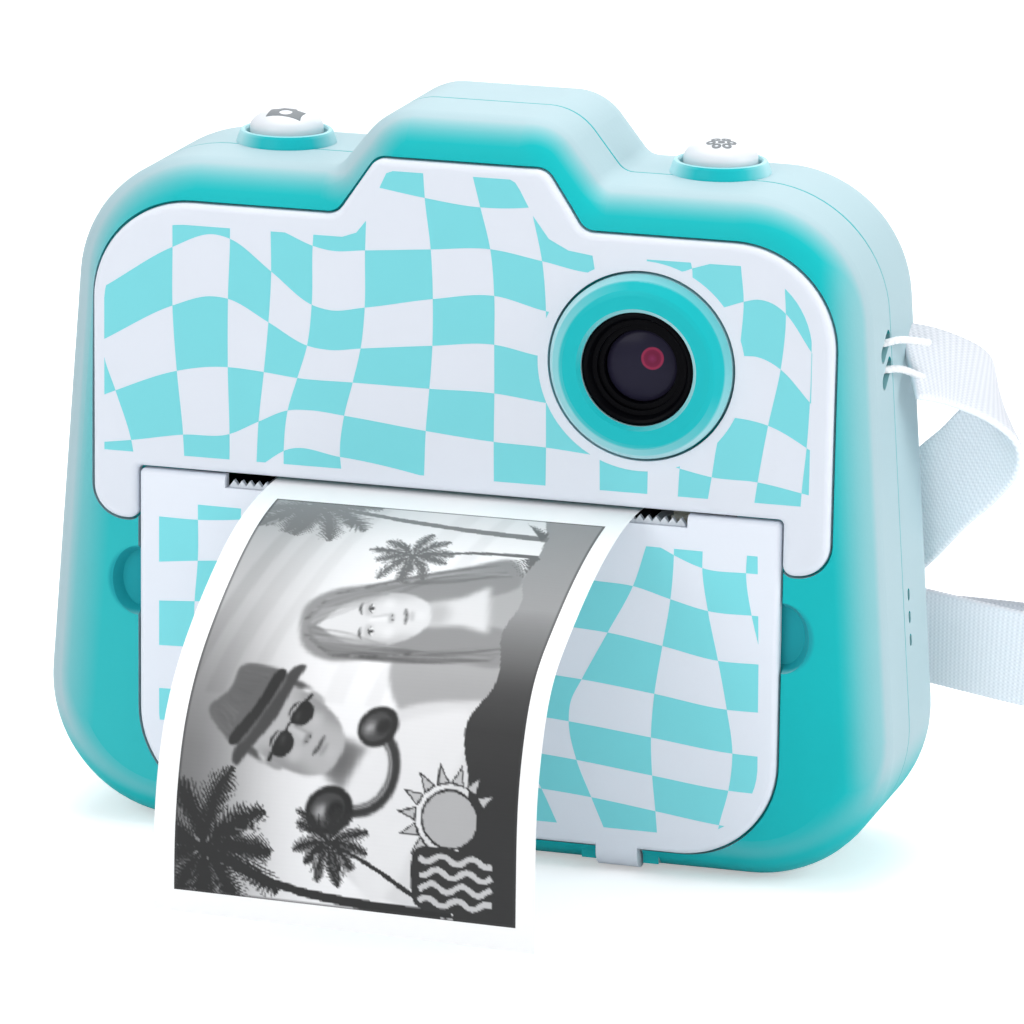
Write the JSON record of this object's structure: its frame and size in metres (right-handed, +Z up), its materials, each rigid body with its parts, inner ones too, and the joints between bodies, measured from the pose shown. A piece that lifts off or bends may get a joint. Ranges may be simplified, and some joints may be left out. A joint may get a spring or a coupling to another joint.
{
  "type": "instant print camera",
  "caption": "Child's instant-print camera: rounded two-shell body, faceplate with off-centre lens, drop-down paper door with print unit, top buttons, rear display and neck strap.",
  "frame": {"origin": "on the flat bottom face, on the centre line, 19 mm behind the front face of the shell", "axes": "+Z up; -Y out of the front (lens side); +X to the right when looking at the front"},
  "size_m": [0.1649, 0.1561, 0.1128],
  "materials": {
    "shell_teal": "satin moulded teal",
    "panel_white": "satin white with a slight lavender tint",
    "button_white": "satin white",
    "black_plastic": "fine matt black",
    "lens_glass": "coated, dark",
    "window": "gloss black window",
    "tear_edge": "white serrated edge",
    "steel": "ground steel",
    "platen_rubber": "matt rubber",
    "gear_plastic": "natural acetal",
    "pcb": "green solder mask",
    "battery_wrap": "blue film",
    "paper": "thermal paper, white coat",
    "webbing": "white ribbed polyester webbing",
    "cord": "white braided cord",
    "port_rubber": "teal soft rubber"
  },
  "bodies": {
    "camera": {"front_shell": "shell_teal", "rear_shell": "shell_teal", "faceplate": "panel_white", "lens_bezel": "shell_teal", "lens_barrel": "black_plastic", "lens_glass": "lens_glass", "inner_lens": "lens_glass", "sensor_board": "pcb", "shutter_collar": "shell_teal", "effects_collar": "shell_teal", "top_switches": "pcb", "main_board": "pcb", "rear_switches": "black_plastic", "display_window": "window", "display_module": "steel", "speaker": "black_plastic", "battery": "battery_wrap", "usb_connector": "steel", "hinge_pins": "steel", "gear_axle": "steel", "motor": "steel", "printer_frame": "black_plastic", "print_head": "steel", "head_springs": "steel", "paper_cradle": "black_plastic", "strap_webbing": "webbing", "strap_cords": "cord", "case_screws": "steel"},
    "door": {"paper_door": "panel_white", "tear_bar": "tear_edge", "platen_bushes": "gear_plastic"},
    "platen": {"platen_shaft": "steel", "platen_roller": "platen_rubber", "platen_gear": "gear_plastic"},
    "reduction": {"reduction_gear": "gear_plastic"},
    "pinion": {"motor_pinion": "gear_plastic"},
    "roll": {"paper_roll": "paper"},
    "print": {"photo_print": "paper"},
    "shutter": {"shutter_button": "button_white"},
    "effects": {"effects_button": "button_white"},
    "pad": {"direction_pad": "button_white"},
    "ok": {"ok_button": "shell_teal"},
    "power": {"power_button": "button_white"},
    "menu": {"menu_button": "button_white"},
    "cover": {"port_cover": "port_rubber"}
  },
  "joints": [
    {"name": "door_open", "type": "hinge", "parent": "camera", "child": "door", "pos_m": [0, -0.0168, 0.0032], "axis": [1, 0, 0], "range_deg": [0, 90]},
    {"name": "platen_spin", "type": "hinge", "parent": "door", "child": "platen", "pos_m": [0, -0.0115, 0.0513], "axis": [1, 0, 0], "continuous": true},
    {"name": "print_pull", "type": "slide", "parent": "door", "child": "print", "axis": [0, -1, 0], "range_m": [0, 0.02]},
    {"name": "reduction_spin", "type": "hinge", "parent": "camera", "child": "reduction", "pos_m": [0, -0.004, 0.0513], "axis": [1, 0, 0], "continuous": true},
    {"name": "pinion_spin", "type": "hinge", "parent": "camera", "child": "pinion", "pos_m": [0, 0.00558, 0.04327], "axis": [1, 0, 0], "continuous": true},
    {"name": "roll_spin", "type": "hinge", "parent": "camera", "child": "roll", "pos_m": [0, -0.0015, 0.024], "axis": [1, 0, 0], "continuous": true},
    {"name": "shutter_press", "type": "slide", "parent": "camera", "child": "shutter", "axis": [0, 0, -1], "range_m": [0, 0.0012], "stiffness_N_per_m": 600},
    {"name": "effects_press", "type": "slide", "parent": "camera", "child": "effects", "axis": [0, 0, -1], "range_m": [0, 0.0012], "stiffness_N_per_m": 600},
    {"name": "pad_press", "type": "slide", "parent": "camera", "child": "pad", "axis": [0, -1, 0], "range_m": [0, 0.0006], "stiffness_N_per_m": 500},
    {"name": "ok_press", "type": "slide", "parent": "camera", "child": "ok", "axis": [0, -1, 0], "range_m": [0, 0.0003], "stiffness_N_per_m": 500},
    {"name": "power_press", "type": "slide", "parent": "camera", "child": "power", "axis": [0, -1, 0], "range_m": [0, 0.0005], "stiffness_N_per_m": 500},
    {"name": "menu_press", "type": "slide", "parent": "camera", "child": "menu", "axis": [0, -1, 0], "range_m": [0, 0.0005], "stiffness_N_per_m": 500},
    {"name": "port_cover_open", "type": "hinge", "parent": "camera", "child": "cover", "pos_m": [-0.0642, 0.011, 0.04], "axis": [0, 0, -1], "range_deg": [0, 110]}
  ],
  "couplings": [
    {"joint": "reduction_spin", "follows": "platen_spin", "ratio": -1.1429},
    {"joint": "pinion_spin", "follows": "platen_spin", "ratio": 2.9388},
    {"joint": "roll_spin", "follows": "platen_spin", "ratio": 0.32}
  ]
}
